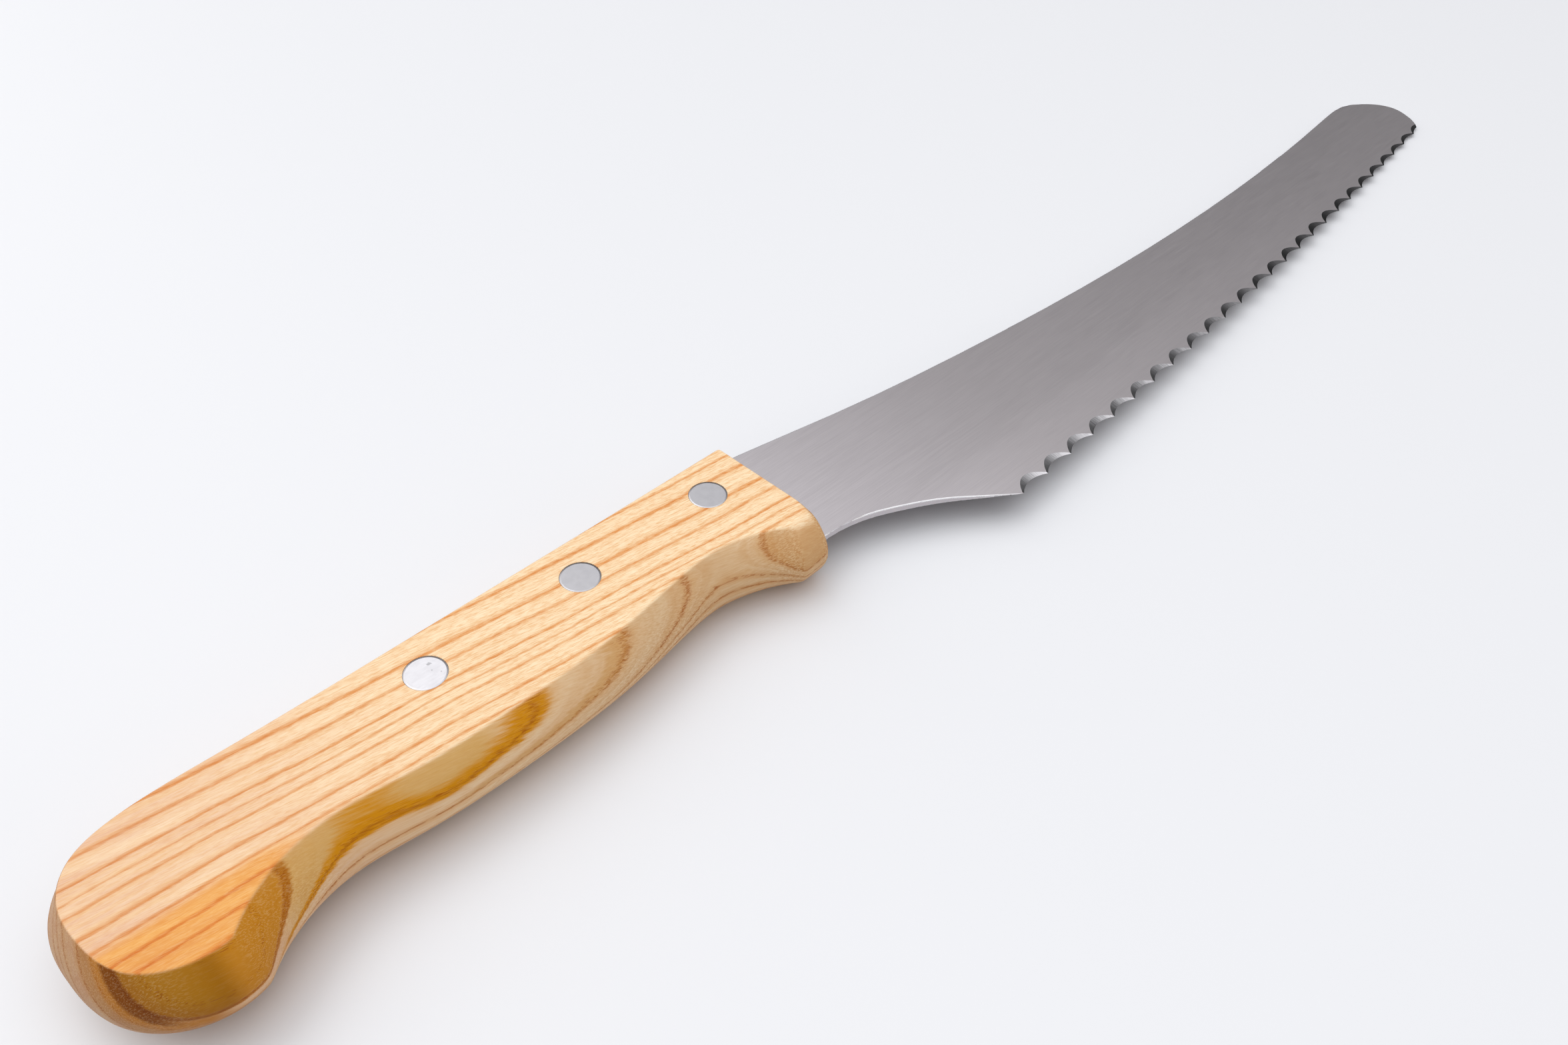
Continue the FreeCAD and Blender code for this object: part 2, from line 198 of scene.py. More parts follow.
# Nearer the handle the sheet is painted brighter, a painted reflection: x from and to, then share from and
# to.
REFLECTION_REACH = (-75.0, 0.0, 1.0, 0.0)
REFLECTION_DARK = (0.57, 0.53, 0.55)
REFLECTION_LIGHT = (0.635, 0.595, 0.615)
BRUSH_CELL = (9.0, 0.13, 0.13)
BRUSH_NOISE = (1.0, 3.0, 0.6)
BRUSH_SHARE = (0.34, 0.66)
BRUSH_ROUGHNESS = (0.3, 0.7, 0.33, 0.38)
BRUSH_BUMP = 0.006 * MM
BRUSH_BUMP_STRENGTH = 0.22

# Paler than the sheet. Part of this brightness is a painted highlight on the ground faces that look back
# towards the handle.
GROUND_STEEL = (0.78, 0.76, 0.78)
# The wheel's scores across the edge: how many in a millimetre along x, y and z, and their shade.
SCORES_PER_MM = (5.0, 0.2, 0.0)
SCORE_NOISE = (1.0, 3.0, 0.7)
SCORE_SHADE = (0.34, 0.66, 0.6, 1.1)
SCORE_ROUGHNESS = (0.3, 0.7, 0.30, 0.45)
SCORE_BUMP = 0.03 * MM
SCORE_BUMP_STRENGTH = 0.6
# Painted shade on the ground faces: the slope along the blade over which a face goes from bright, where it
# looks back towards the handle, to dark, where it looks towards the tip; and the stretch of blade along
# which the grinding is painted darker towards the tip; each with its shade from and to.
FACING_SHADE = (-0.16, 0.12, 1.0, 0.22)
TIPWARD_SHADE = (-20.0, 120.0, 1.0, 0.16)

# The eased edges' steel is paler than the sheet: a painted highlight along the spine's and choil's
# corners.
EASED_HIGHLIGHT_DARK = (0.82, 0.81, 0.82)
EASED_HIGHLIGHT_LIGHT = (0.92, 0.91, 0.92)
EASED_NOISE = (1.5, 3.0)
EASED_SHARE = (0.3, 0.7)
EASED_ROUGHNESS = (0.3, 0.7, 0.24, 0.36)
EASED_BUMP = 0.01 * MM
EASED_BUMP_STRENGTH = 0.5

# ---- Rivets ----
ALUMINIUM_DARK = (0.555, 0.545, 0.57)
ALUMINIUM_LIGHT = (0.59, 0.58, 0.605)
CLOUD_NOISE = (0.6, 3.0)
CLOUD_SHARE = (0.35, 0.7)
SANDING_CELL = (2.5, 0.1, 1.0)
SANDING_NOISE = (1.0, 2.0)
SANDING_ROUGHNESS = (0.3, 0.7, 0.36, 0.46)
SANDING_BUMP = 0.01 * MM
SANDING_BUMP_STRENGTH = 0.5
# Where a head's rim rounds over, in millimetres from its middle, and how deep.
RIVET_RIM = (3.5, 3.85, 1.0, 0.0)
RIM_BUMP = 0.12 * MM
# Painted light: the brightness of the front, middle and rear rivets as the light falls on them, each
# within this reach of its middle.
RIVET_PAINTED_LIGHT = (0.95, 0.86, 1.07)
RIVET_REACH = 7.7
# Pits in the rear rivet's face: millimetres from its middle, and their reach. Noise makes them ragged, and
# they fade out between two shares of the reach.
RIVET_PITS = ((1.6, 1.3, 0.8), (2.2, -1.5, 0.35), (1.2, -0.2, 0.2))
PIT_COLOUR = (0.25, 0.25, 0.26)
PIT_TINT = 0.6
PIT_DEPTH = -3.0
PIT_EDGE = (0.7, 1.1)
PIT_NOISE = (2.5, 3.0)

# ---- Handle mesh ----
WELD = 0.001 * MM
# The outline's steps up the front, round the spine and butt to the foot, and along the belly.
HANDLE_STEPS = (80, 420, 330)
# The foot is the corner under the butt: about where, and how far off it may be.
FOOT = (-0.1915, -0.0100)
FOOT_REACH = 5 * MM
# Rounds of smoothing everywhere and at the nose, and the steps each side that the nose's smoothing takes.
CORNER_ROUNDS = 3
NOSE_ROUNDS = 45
NOSE_REACH = 18
# The easing where the side meets the flat faces: its size, its steps in a quarter turn, its size at the
# nose, and the steps before and after the nose over which it grows to that.
EASING = 0.3 * MM
EASING_STEPS = 4
NOSE_EASING = 1.6 * MM
NOSE_SPANS = (26, 18)
WALL_STEPS = 7
SLICES = 12
# The first slice is this far above the flat face that the knife lies on.
FIRST_SLICE = 0.02 * MM
FRONT_FACE = 0.02 * MM
# The groove beside the tang: the gap over the tang's face, the groove's depth and its lip. It runs where
# the side is this near to the spine, and up the front from this far above the handle's lowest edge.
SLOT_GAP = 0.04 * MM
SLOT_GROOVE = 0.35 * MM
SLOT_LIP = 0.1 * MM
GROOVE_SPAN = 8 * MM
GROOVE_FRONT = 0.1 * MM
TANG_RISE = 6 * MM
# The blind seats for the rivets' heads.
SEAT_GAP = 0.07 * MM
SEAT_DEPTH = 0.5 * MM
SEAT_SIDES = 64
# The triangulation keeps what is inside the outline, and joins points that are nearer than this.
KEEP_INSIDE = 1
SAME_POINT = 1e-9

# ---- Blade mesh ----
BLADE_EASING = 0.22 * MM
BLADE_EASING_STEPS = 3
# A bevel's profile: 0.5 is round.
ROUND_PROFILE = 0.5
# Wall vertices this near to the sheet's middle are spare.
SHEET_CORE = 0.1 * MM
# Faces that meet at less than the first angle are one plane, and at more than the second, a sharp edge.
ONE_PLANE = math.radians(0.1)
SHARP_ANGLE = math.radians(14)
# How far a face's normal rises: less than a wall's, more than a sloping face's, a flat's, a broad face's
# and a perfectly flat one's.
WALL_NORMAL = 0.1
SLOPED_NORMAL = 0.05
FLAT_NORMAL = 0.9
BROAD_NORMAL = 0.99
LEVEL_NORMAL = 0.99999
# Reaches from the heel and from the handle's front that tell the spine, choil and scallops apart.
CHOIL_RISE = 25 * MM
SPINE_RISE = 20 * MM
HEEL_MARGIN = 1.5 * MM
SCALLOP_MARGIN = 0.5 * MM
HANDLE_MARGIN = 2 * MM


def make_camera():
    data = bpy.data.cameras.new("photo_view")
    data.lens = CAMERA_LENS
    data.sensor_fit = "HORIZONTAL"
    data.sensor_width = CAMERA_SENSOR
    data.clip_start, data.clip_end = CAMERA_CLIP
    camera = bpy.data.objects.new("photo_view", data)
    bpy.context.scene.collection.objects.link(camera)
    heading = Matrix.Rotation(math.radians(CAMERA_HEADING), 4, "Z")
    tilt = Matrix.Rotation(math.radians(CAMERA_TILT), 4, "X")
    roll = Matrix.Rotation(math.radians(CAMERA_ROLL), 4, "Z")
    camera.matrix_world = Matrix.Translation(CAMERA_PLACE) @ heading @ tilt @ roll
    bpy.context.scene.camera = camera


class Shader:
    """A node material under construction. Sockets go in as arguments and come back as results."""

    def __init__(self, name):
        self.material = bpy.data.materials.new(name)
        self.material.use_nodes = True
        self.tree = self.material.node_tree
        self.tree.nodes.clear()
        output = self.tree.nodes.new("ShaderNodeOutputMaterial")
        self.surface = self.tree.nodes.new("ShaderNodeBsdfPrincipled")
        self.tree.links.new(self.surface.outputs["BSDF"], output.inputs["Surface"])

    def node(self, kind, settings, inputs):
        made = self.tree.nodes.new(kind)
        for name, value in settings.items():
            setattr(made, name, value)
        for name, value in inputs.items():
            self.put(made.inputs[name], value)
        return made

    def put(self, socket, value):
        if isinstance(value, bpy.types.NodeSocket):
            self.tree.links.new(value, socket)
        elif socket.type == "RGBA":
            socket.default_value = (*value, 1.0)
        else:
            socket.default_value = value

    def set(self, **values):
        """Sets the surface's own sockets, whose names are spelled here with _ for a space."""
        for name, value in values.items():
            self.put(self.surface.inputs[name.replace("_", " ")], value)

    def math(self, operation, first, second=0.0, third=0.0):
        inputs = {0: first, 1: second, 2: third}
        return self.node("ShaderNodeMath", {"operation": operation}, inputs).outputs[0]

    def vector(self, operation, first, second):
        """A vector operation; the result is the number for a dot product, a length or a distance."""
        made = self.node("ShaderNodeVectorMath", {"operation": operation}, {0: first, 1: second})
        return made.outputs["Value" if operation in ("DOT_PRODUCT", "LENGTH", "DISTANCE") else "Vector"]

    def place(self):
        """The point in the row frame, in millimetres."""
        place = self.node("ShaderNodeTexCoord", {}, {}).outputs["Object"]
        return self.vector("MULTIPLY", place, (1 / MM, 1 / MM, 1 / MM))

    def normal(self):
        """The surface's normal in the row frame."""
        return self.node("ShaderNodeTexCoord", {}, {}).outputs["Normal"]

    def split(self, vector):
        return self.node("ShaderNodeSeparateXYZ", {}, {0: vector}).outputs

    def join(self, x, y, z):
        return self.node("ShaderNodeCombineXYZ", {}, {0: x, 1: y, 2: z}).outputs[0]

    def noise(self, vector, scale=1.0, detail=2.0, roughness=0.5):
        inputs = {"Vector": vector, "Scale": scale, "Detail": detail, "Roughness": roughness}
        return self.node("ShaderNodeTexNoise", {}, inputs).outputs[0]

    def range(self, value, low, high, to_low=0.0, to_high=1.0, smooth=True):
        """Maps low..high to to_low..to_high and holds the ends."""
        settings = {"interpolation_type": "SMOOTHSTEP" if smooth else "LINEAR"}
        inputs = {"Value": value, "From Min": low, "From Max": high, "To Min": to_low, "To Max": to_high}
        return self.node("ShaderNodeMapRange", settings, inputs).outputs[0]

    def within(self, value, low, high, soft):
        """1 between low and high, 0 outside, with soft edges."""
        start = self.range(value, low - soft, low + soft)
        return self.math("MULTIPLY", start, self.range(value, high - soft, high + soft, 1.0, 0.0))

    def mix_numbers(self, share, first, second):
        inputs = {0: share, 2: first, 3: second}
        return self.node("ShaderNodeMix", {"data_type": "FLOAT"}, inputs).outputs[0]

    def mix(self, share, first, second, blend="MIX"):
        settings = {"data_type": "RGBA", "blend_type": blend, "clamp_factor": True}
        return self.node("ShaderNodeMix", settings, {0: share, 6: first, 7: second}).outputs[2]

    def toned(self, colour, tone):
        """A colour made that many times as bright."""
        grey = self.node("ShaderNodeCombineColor", {}, {0: tone, 1: tone, 2: tone}).outputs[0]
        return self.mix(1.0, grey, colour, blend="MULTIPLY")

    def bump(self, height, distance, strength=1.0, normal=None):
        inputs = {"Height": height, "Distance": distance, "Strength": strength}
        if normal is not None:
            inputs["Normal"] = normal
        return self.node("ShaderNodeBump", {}, inputs).outputs[0]


def make_floor():
    """A pale plane under the knife, which touches the handle's front and the blade's round tip."""
    front = HANDLE_BOX[1].x
    rise = math.atan2(BLADE_BOX[0].z, BLADE_BOX[1].x - front)
    mesh = bpy.data.meshes.new("floor")
    half = FLOOR_SIZE / 2
    corners = [(-half, -half, 0), (half, -half, 0), (half, half, 0), (-half, half, 0)]
    mesh.from_pydata(corners, [], [(0, 1, 2, 3)])
    floor = bpy.data.objects.new("floor", mesh)
    bpy.context.scene.collection.objects.link(floor)
    floor.matrix_world = Matrix.Translation((front, 0, 0)) @ Matrix.Rotation(-rise, 4, "Y")
    shader = Shader("pale_floor")
    shader.set(Base_Color=FLOOR_COLOUR, Roughness=FLOOR_ROUGHNESS)
    mesh.materials.append(shader.material)


def make_lights():
    """A broad soft light overhead that fades to a dim horizon, a window behind the spine and a fill."""
    world = bpy.data.worlds.new("studio")
    world.use_nodes = True
    tree = world.node_tree
    background = tree.nodes["Background"]
    background.inputs["Color"].default_value = (*SKY_COLOUR, 1)
    coordinates = tree.nodes.new("ShaderNodeTexCoord")
    split = tree.nodes.new("ShaderNodeSeparateXYZ")
    ramp = tree.nodes.new("ShaderNodeValToRGB")
    strength = tree.nodes.new("ShaderNodeMath")
    strength.operation = "MULTIPLY"
    strength.inputs[1].default_value = SKY_STRENGTH
    elements = ramp.color_ramp.elements
    for height, share in SKY_FADE:
        element = elements.new(height)
        element.color = (share, share, share, 1)
    elements.remove(elements[0])
    elements.remove(elements[-1])
    tree.links.new(coordinates.outputs["Generated"], split.inputs[0])
    tree.links.new(split.outputs["Z"], ramp.inputs[0])
    tree.links.new(ramp.outputs[0], strength.inputs[0])
    tree.links.new(strength.outputs[0], background.inputs["Strength"])
    bpy.context.scene.world = world

    add_panel("window", WINDOW_PLACE, WINDOW_WIDTH, WINDOW_POWER, WINDOW_COLOUR)
    add_panel("fill", FILL_PLACE, FILL_WIDTH, FILL_POWER, FILL_COLOUR)


def add_panel(name, place, width, power, colour):
    """A square soft light that faces the knife."""
    data = bpy.data.lights.new(name, "AREA")
    data.shape = "SQUARE"
    data.size = width
    data.energy = power
    data.color = colour
    panel = bpy.data.objects.new(name, data)
    bpy.context.scene.collection.objects.link(panel)
    panel.location = place
    panel.rotation_euler = (-Vector(place)).to_track_quat("-Z", "Y").to_euler()


def ring_radius(shader, place):
    """Distance from the tree's middle, which wanders a little as real rings do."""
    x, y, z = shader.split(place)
    along = shader.math("SUBTRACT", x, RING_MIDDLE)
    square = shader.math("MULTIPLY", along, along)
    across = shader.math("SUBTRACT", y, RING_AXIS_Y)
    across = shader.math("MULTIPLY_ADD", along, RING_SLOPE_Y, across)
    across = shader.math("MULTIPLY_ADD", square, RING_BEND_Y, across)
    height = shader.math("SUBTRACT", z, RING_AXIS_Z)
    height = shader.math("MULTIPLY_ADD", along, -RING_SLOPE_Z, height)
    height = shader.math("MULTIPLY_ADD", square, -RING_BEND_Z, height)
    radius = shader.vector("LENGTH", shader.join(across, height, 0.0), (0, 0, 0))
    slow = shader.math("SUBTRACT", shader.noise(place, *WANDER_NOISE), NOISE_MIDDLE)
    return shader.math("MULTIPLY_ADD", slow, WANDER_REACH, radius)


def ring_number(shader, radius):
    """The count of growth rings out to a radius: whole numbers fall on the dark lines."""
    reach = sum(RING_GAPS)
    share = shader.math("DIVIDE", shader.math("SUBTRACT", radius, RING_INNERMOST), reach)
    curve = shader.node("ShaderNodeFloatCurve", {}, {"Value": share})
    points = curve.mapping.curves[0].points
    passed = 0.0
    for count, gap in enumerate(RING_GAPS[:-1], start=1):
        passed += gap
        points.new(passed / reach, count / len(RING_GAPS))
    curve.mapping.update()
    return shader.math("MULTIPLY", curve.outputs[0], float(len(RING_GAPS)))


def fibre_space(shader, place):
    """The point counted along the fibres and in two directions across them."""
    across = Vector((0, 0, 1)).cross(FIBRE).normalized()
    up = FIBRE.cross(across)
    return shader.join(*[shader.vector("DOT_PRODUCT", place, tuple(way)) for way in (FIBRE, across, up)])


def streaks(shader, fibre, length, width, detail=2.0, roughness=0.55):
    """Noise drawn out along the fibres: cells about that long and wide, in millimetres."""
    return shader.noise(shader.vector("DIVIDE", fibre, (length, width, width)), 1.0, detail, roughness)


def ring_line(shader, fibre, offset, nearest, side):
    """The share of a ring's dark line: broad and whole on the flat faces, slim and dashed on the sides."""
    weight = shader.node("ShaderNodeTexWhiteNoise", {"noise_dimensions": "1D"}, {"W": nearest}).outputs[0]
    weight = shader.range(weight, 0.0, 1.0, *LINE_WEIGHTS, smooth=False)
    weight = shader.math("MAXIMUM", weight, shader.within(nearest, *BOLD_RINGS))
    dash = shader.range(streaks(shader, fibre, *DASH_CELL), *DASH_SHARE)
    dash = shader.math("MAXIMUM", dash, shader.math("SUBTRACT", 1.0, side))
    inner = shader.range(offset, by_side(shader, side, LINE_START), LINE_PEAK)
    outer = shader.range(offset, LINE_PEAK, by_side(shader, side, LINE_END), 1.0, 0.0)
    line = shader.math("MULTIPLY", inner, outer)
    return shader.math("MULTIPLY", line, shader.math("MULTIPLY", weight, dash))


def by_side(shader, side, values):
    """The first value on the flat faces and the second on the sides."""
    return shader.range(side, 0.0, 1.0, *values)


def stained(shader, colour, number, x, side):
    """The colour under the oil stains, which follow the rings and lie on the sides or the flat faces."""
    for tint, rings, lengths, strength, on_side in STAINS:
        share = shader.math("MULTIPLY", shader.within(number, *rings), shader.within(x, *lengths))
        share = shader.math("MULTIPLY", share, strength)
        share = shader.math("MULTIPLY", share, side if on_side else shader.math("SUBTRACT", 1.0, side))
        colour = shader.mix(share, colour, tint, blend="MIX" if on_side else "MULTIPLY")
    return colour


def plain_wood(shader, x, fibre, radius, fine):
    """The colour before the rings' lines: browner at the butt, with soft streaks and thin shells."""
    wash = streaks(shader, fibre, *WASH_CELL)
    turns = shader.math("MULTIPLY", radius, SHELL_PITCH)
    shells = shader.noise(shader.join(turns, shader.math("DIVIDE", x, SHELL_LENGTH), 0.0))
    colour = shader.mix(shader.range(x, *PALE_REACH), PALE_REAR, PALE_WOOD)
    colour = shader.mix(shader.range(wash, *WASH_SHARE), colour, PALEST_WOOD)
    colour = shader.mix(shader.range(fine, *FINE_SHARE), colour, GRAIN_SHADE)
    return shader.mix(shader.range(shells, *SHELL_SHARE), colour, GRAIN_SHADE)


def flecked(shader, colour, fleck, normal, x, side):
    """The colour with light and dark flecks, which show less on sides that run with the fibres."""
    cut = shader.math("ABSOLUTE", shader.vector("DOT_PRODUCT", normal, tuple(FIBRE)))
    open_grain = shader.mix_numbers(side, 1.0, shader.range(cut, *END_GRAIN))
    open_grain = shader.math("MULTIPLY", open_grain, shader.range(x, *SMOOTH_REAR))
    light = shader.math("MULTIPLY", shader.range(fleck, *FLECK_LIGHT_SHARE), open_grain)
    shade = shader.math("MULTIPLY", shader.range(fleck, *FLECK_SHADE_SHARE), open_grain)
    colour = shader.mix(light, colour, FLECK_LIGHT, blend="SCREEN")
    return shader.mix(shade, colour, FLECK_SHADE, blend="MULTIPLY")


def pore_share(shader, fibre, from_line, side):
    """The share of the open pores, which crowd beside the rings' lines."""
    pore = streaks(shader, fibre, *PORE_CELL)
    crowded = shader.range(from_line, *PORES_BY_LINE)
    pores = shader.math("MULTIPLY", shader.range(pore, *PORE_SHARE), crowded)
    return shader.math("MULTIPLY", pores, by_side(shader, side, PORE_STRENGTH))


def ash_material():
    """Oiled ash: one solid of growth rings, fibres and pores, which every face of the handle cuts."""
    shader = Shader("oiled_ash")
    place = shader.place()
    x = shader.split(place)[0]
    normal = shader.normal()
    side = shader.range(shader.math("ABSOLUTE", shader.split(normal)[2]), *SIDE_NORMAL, 1.0, 0.0)
    fibre = fibre_space(shader, place)
    fine = streaks(shader, fibre, *FINE_CELL)
    fleck = streaks(shader, fibre, *FLECK_CELL)
    radius = ring_radius(shader, place)
    fuzz = shader.math("SUBTRACT", streaks(shader, fibre, *FUZZ_CELL), NOISE_MIDDLE)
    number = ring_number(shader, shader.math("MULTIPLY_ADD", fuzz, FUZZ_REACH, radius))
    nearest = shader.math("ROUND", number)
    offset = shader.math("SUBTRACT", number, nearest)
    from_line = shader.math("ABSOLUTE", offset)

    colour = plain_wood(shader, x, fibre, radius, fine)
    halo = shader.range(from_line, *HALO_REACH)
    halo = shader.math("MULTIPLY", halo, by_side(shader, side, HALO_STRENGTH))
    colour = shader.mix(halo, colour, HALO_WOOD)
    line = ring_line(shader, fibre, offset, nearest, side)
    line_colour = shader.mix(side, RING_LINE, RING_LINE_SIDE)
    colour = shader.mix(line, colour, line_colour, blend="MULTIPLY")
    oil = shader.math("MULTIPLY", side, shader.range(x, *OILED_NOSE))
    colour = shader.mix(oil, colour, OILED_SIDE, blend="MULTIPLY")
    colour = stained(shader, colour, number, x, side)
    colour = flecked(shader, colour, fleck, normal, x, side)
    pores = pore_share(shader, fibre, from_line, side)
    colour = shader.mix(shader.math("MULTIPLY", pores, PORE_TINT), colour, PORE_SHADE, blend="MULTIPLY")

    relief = shader.math("MULTIPLY_ADD", pores, PORE_DEPTH, fleck)
    shader.set(Base_Color=colour, Roughness=shader.range(fine, *WOOD_ROUGHNESS), IOR=WOOD_IOR)
    shader.set(Normal=shader.bump(relief, GRAIN_BUMP, GRAIN_BUMP_STRENGTH))
    return shader.material


def steel_material():
    """Satin steel with its brushing along the blade, and a painted reflection that makes it brighter near
    the handle.
    """
    shader = Shader("satin_steel")
    place = shader.place()
    brushing = shader.noise(shader.vector("DIVIDE", place, BRUSH_CELL), *BRUSH_NOISE)
    share = shader.range(brushing, *BRUSH_SHARE)
    sheet = shader.mix(share, STEEL_DARK, STEEL_LIGHT)
    # The brighter sheet near the handle is a painted reflection.
    painted_reflection = shader.mix(share, REFLECTION_DARK, REFLECTION_LIGHT)
    near_handle = shader.range(shader.split(place)[0], *REFLECTION_REACH)
    shader.set(Base_Color=shader.mix(near_handle, sheet, painted_reflection), Metallic=1.0)
    shader.set(Roughness=shader.range(brushing, *BRUSH_ROUGHNESS))
    shader.set(Normal=shader.bump(brushing, BRUSH_BUMP, BRUSH_BUMP_STRENGTH))
    return shader.material


def ground_material():
    """The scallops' steel, scored across the edge by the wheel, with painted shade where a face looks
    towards the tip and further along the blade.
    """
    shader = Shader("ground_steel")
    place = shader.place()
    scores = shader.noise(shader.vector("MULTIPLY", place, SCORES_PER_MM), *SCORE_NOISE)
    # Painted shade: darker on faces that look towards the tip, and darker towards the tip along the blade.
    facing_shade = shader.range(shader.split(shader.normal())[0], *FACING_SHADE)
    tipward_shade = shader.range(shader.split(place)[0], *TIPWARD_SHADE)
    tone = shader.math("MULTIPLY", shader.range(scores, *SCORE_SHADE), facing_shade)
    tone = shader.math("MULTIPLY", tone, tipward_shade)
    shader.set(Base_Color=shader.toned(GROUND_STEEL, tone), Metallic=1.0)
    shader.set(Roughness=shader.range(scores, *SCORE_ROUGHNESS))
    shader.set(Normal=shader.bump(scores, SCORE_BUMP, SCORE_BUMP_STRENGTH))
    return shader.material


def eased_material():
    """The steel's eased edges, painted brighter than its sheet as a highlight along them."""
    shader = Shader("eased_steel_highlight")
    wear = shader.noise(shader.place(), *EASED_NOISE)
    colour = shader.mix(shader.range(wear, *EASED_SHARE), EASED_HIGHLIGHT_DARK, EASED_HIGHLIGHT_LIGHT)
    shader.set(Base_Color=colour, Metallic=1.0)
    shader.set(Roughness=shader.range(wear, *EASED_ROUGHNESS))
    shader.set(Normal=shader.bump(wear, EASED_BUMP, EASED_BUMP_STRENGTH))
    return shader.material


def rivet_middle(rivet):
    low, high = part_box(rivet + "_rivet_sleeve")
    return ((low + high) / 2).xy


def rivet_pits(shader, place):
    """The share of the pits in the rear rivet's face."""
    rear = rivet_middle("rear") / MM
    pits = 0.0
    for dx, dy, reach in RIVET_PITS:
        spot = (rear.x + dx, rear.y + dy, HANDLE_BOX[1].z / MM)
        away = shader.vector("DISTANCE", place, spot)
        away = shader.math("MULTIPLY_ADD", shader.noise(place, *PIT_NOISE), reach, away)
        pit = shader.range(away, reach * PIT_EDGE[0], reach * PIT_EDGE[1], 1.0, 0.0)
        pits = shader.math("MAXIMUM", pits, pit)
    return pits


def aluminium_material():
    """Sanded aluminium with rounded rims, and painted light that gives each rivet a brightness of its own.
    """
    shader = Shader("sanded_aluminium")
    place = shader.place()
    x, y, _ = shader.split(place)
    sanding = shader.noise(shader.vector("DIVIDE", place, SANDING_CELL), *SANDING_NOISE)
    cloud = shader.noise(place, *CLOUD_NOISE)
    pits = rivet_pits(shader, place)
    colour = shader.mix(shader.range(cloud, *CLOUD_SHARE), ALUMINIUM_LIGHT, ALUMINIUM_DARK)
    colour = shader.mix(shader.math("MULTIPLY", pits, PIT_TINT), colour, PIT_COLOUR)
    rim = 0.0
    tone = 1.0
    flat = shader.join(x, y, 0.0)
    for rivet, share in zip(RIVETS, RIVET_PAINTED_LIGHT):
        middle = rivet_middle(rivet) / MM
        away = shader.vector("DISTANCE", flat, (*middle, 0.0))
        rim = shader.math("MAXIMUM", rim, shader.range(away, *RIVET_RIM))
        # Painted light: each rivet is made as bright as the light falls on it.
        tone = shader.math("MULTIPLY_ADD", shader.math("LESS_THAN", away, RIVET_REACH), share - 1, tone)
    shader.set(Base_Color=shader.toned(colour, tone), Metallic=1.0)
    shader.set(Roughness=shader.range(sanding, *SANDING_ROUGHNESS))
    relief = shader.math("MULTIPLY_ADD", pits, PIT_DEPTH, sanding)
    grain = shader.bump(relief, SANDING_BUMP, SANDING_BUMP_STRENGTH)
    shader.set(Normal=shader.bump(rim, RIM_BUMP, 1.0, grain))
    return shader.material


def welded(node):
    """The node's CAD mesh as one closed surface, with the vertices that its faces share joined."""
    mesh = bmesh.new()
    mesh.from_mesh(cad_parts[node].data)
    bmesh.ops.remove_doubles(mesh, verts=mesh.verts, dist=WELD)
    return mesh


def slice_outline(mesh, height):
    """The outer outline of a mesh at a height, anticlockwise, from a cut through its faces."""
    thin = mesh.copy()
    cut = bmesh.ops.bisect_plane(
        thin, geom=thin.verts[:] + thin.edges[:] + thin.faces[:],
        plane_co=(0, 0, height), plane_no=(0, 0, 1), clear_inner=True, clear_outer=True,
    )
    beside = {}
    for edge in (e for e in cut["geom_cut"] if isinstance(e, bmesh.types.BMEdge)):
        first, second = edge.verts
        beside.setdefault(first, []).append(second)
        beside.setdefault(second, []).append(first)
    left = dict.fromkeys(beside)
    loops = []
    while left:
        here = next(iter(left))
        loop = []
        while here is not None:
            del left[here]
            loop.append(here.co.xy)
            here = next((v for v in beside[here] if v in left), None)
        loops.append(loop)
    thin.free()
    longest = max(loops, key=length_round)
    area = sum(p.cross(q) for p, q in zip(longest, longest[1:] + longest[:1]))
    return longest if area > 0 else longest[::-1]


def length_round(loop):
    return sum((b - a).length for a, b in zip(loop, loop[1:] + loop[:1]))


def even_steps(line, count):
    """Points evenly spaced along an open line, from its start to just before its end."""
    step = sum((q - p).length for p, q in zip(line, line[1:])) / count
    points = []
    passed = 0.0
    for p, q in zip(line, line[1:]):
        run = (q - p).length
        while len(points) < count and len(points) * step <= passed + run and run > 0:
            points.append(p.lerp(q, (len(points) * step - passed) / run))
        passed += run
    return points


def sharpest(loop, near, reach):
    """The index of the loop's sharpest turn within a reach of a point."""
    def turn(k):
        before, here, after = loop[k - 1], loop[k], loop[(k + 1) % len(loop)]
        if (here - near).length > reach:
            return -1.0
        return (here - before).angle(after - here, 0.0)

    return max(range(len(loop)), key=turn)


def between_corners(loop, corners, counts):
    """The loop again with a fixed number of even steps from each corner to the next."""
    points = []
    for start, end, count in zip(corners, corners[1:] + corners[:1], counts):
        run = (end - start) % len(loop)
        points += even_steps([loop[(start + k) % len(loop)] for k in range(run + 1)], count)
    return points


def softened(loop, rounds):
    """The loop with its corners and facets rounded off."""
    for _ in range(rounds):
        loop = [(a + 2 * b + c) / 4 for a, b, c in zip(loop[-1:] + loop[:-1], loop, loop[1:] + loop[:1])]
    return loop


def outward(loop):
    """The direction out of an anticlockwise loop at each of its points."""
    ways = [c - a for a, c in zip(loop[-1:] + loop[:-1], loop[1:] + loop[:1])]
    return [Vector((way.y, -way.x)).normalized() for way in ways]


def hump(step, reach):
    """1 at step 0, easing to 0 at a reach either way."""
    return math.cos(math.pi / 2 * step / reach) ** 2


def seat_circle(rivet):
    low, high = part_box(rivet + "_rivet_sleeve")
    middle = rivet_middle(rivet)
    radius = (high.x - low.x) / 2 + SEAT_GAP
    turns = [2 * math.pi * k / SEAT_SIDES for k in range(SEAT_SIDES)]
    return [middle + radius * Vector((math.cos(t), math.sin(t))) for t in turns]


